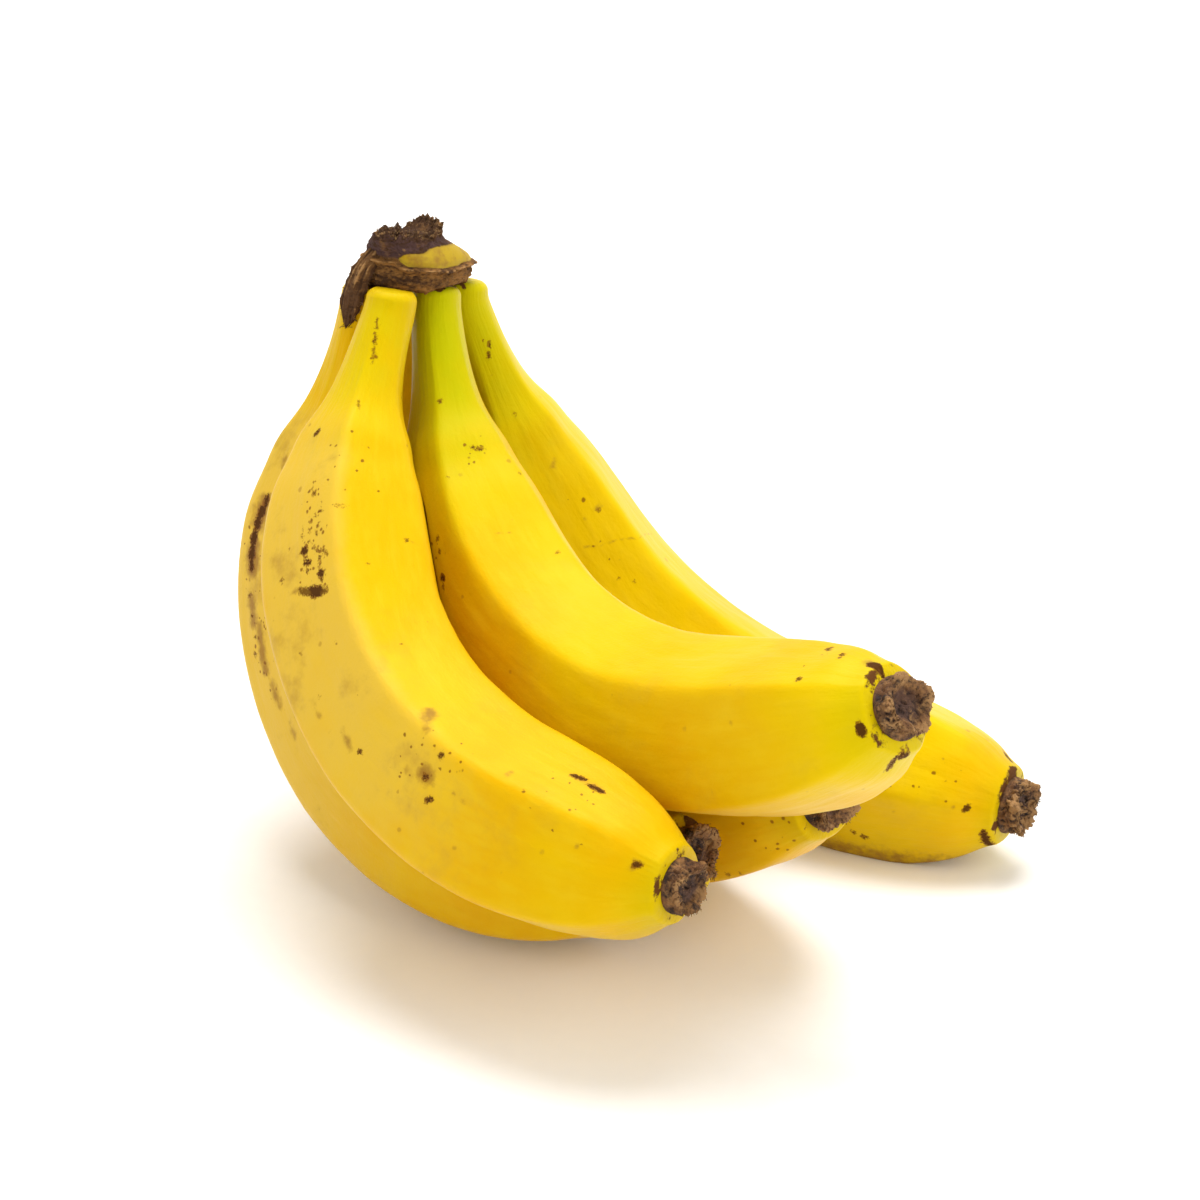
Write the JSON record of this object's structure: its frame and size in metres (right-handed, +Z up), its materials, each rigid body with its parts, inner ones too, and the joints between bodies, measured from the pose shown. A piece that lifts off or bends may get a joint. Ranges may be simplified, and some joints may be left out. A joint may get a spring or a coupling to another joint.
{
  "type": "bunch of bananas",
  "caption": "Hand of ripe bananas joined at one cut brown crown, curved fingers lying over one another and resting on their own low sides.",
  "frame": {"origin": "middle of the bunch's footprint, on the surface it lies on", "axes": "+Z up; +X along the bunch's longest way, from the bulging backs of the fingers toward their tips; +Y away from the viewer's side, toward the crown"},
  "size_m": [0.1673, 0.1591, 0.1327],
  "materials": {
    "peel": "smooth waxy yellow fruit peel, satin, with brown specks and green at the necks",
    "crown_bark": "dry torn brown stem skin, rough and fibrous",
    "dried_end": "dried dark brown blossom end, rough and cracked"
  },
  "bodies": {
    "root": {"finger_front": "peel", "finger_outer": "peel", "finger_middle": "peel", "finger_back": "peel", "finger_under": "peel", "blossom_end_front": "dried_end", "blossom_end_outer": "dried_end", "blossom_end_middle": "dried_end", "blossom_end_back": "dried_end", "blossom_end_under": "dried_end", "crown": "crown_bark"}
  },
  "joints": []
}
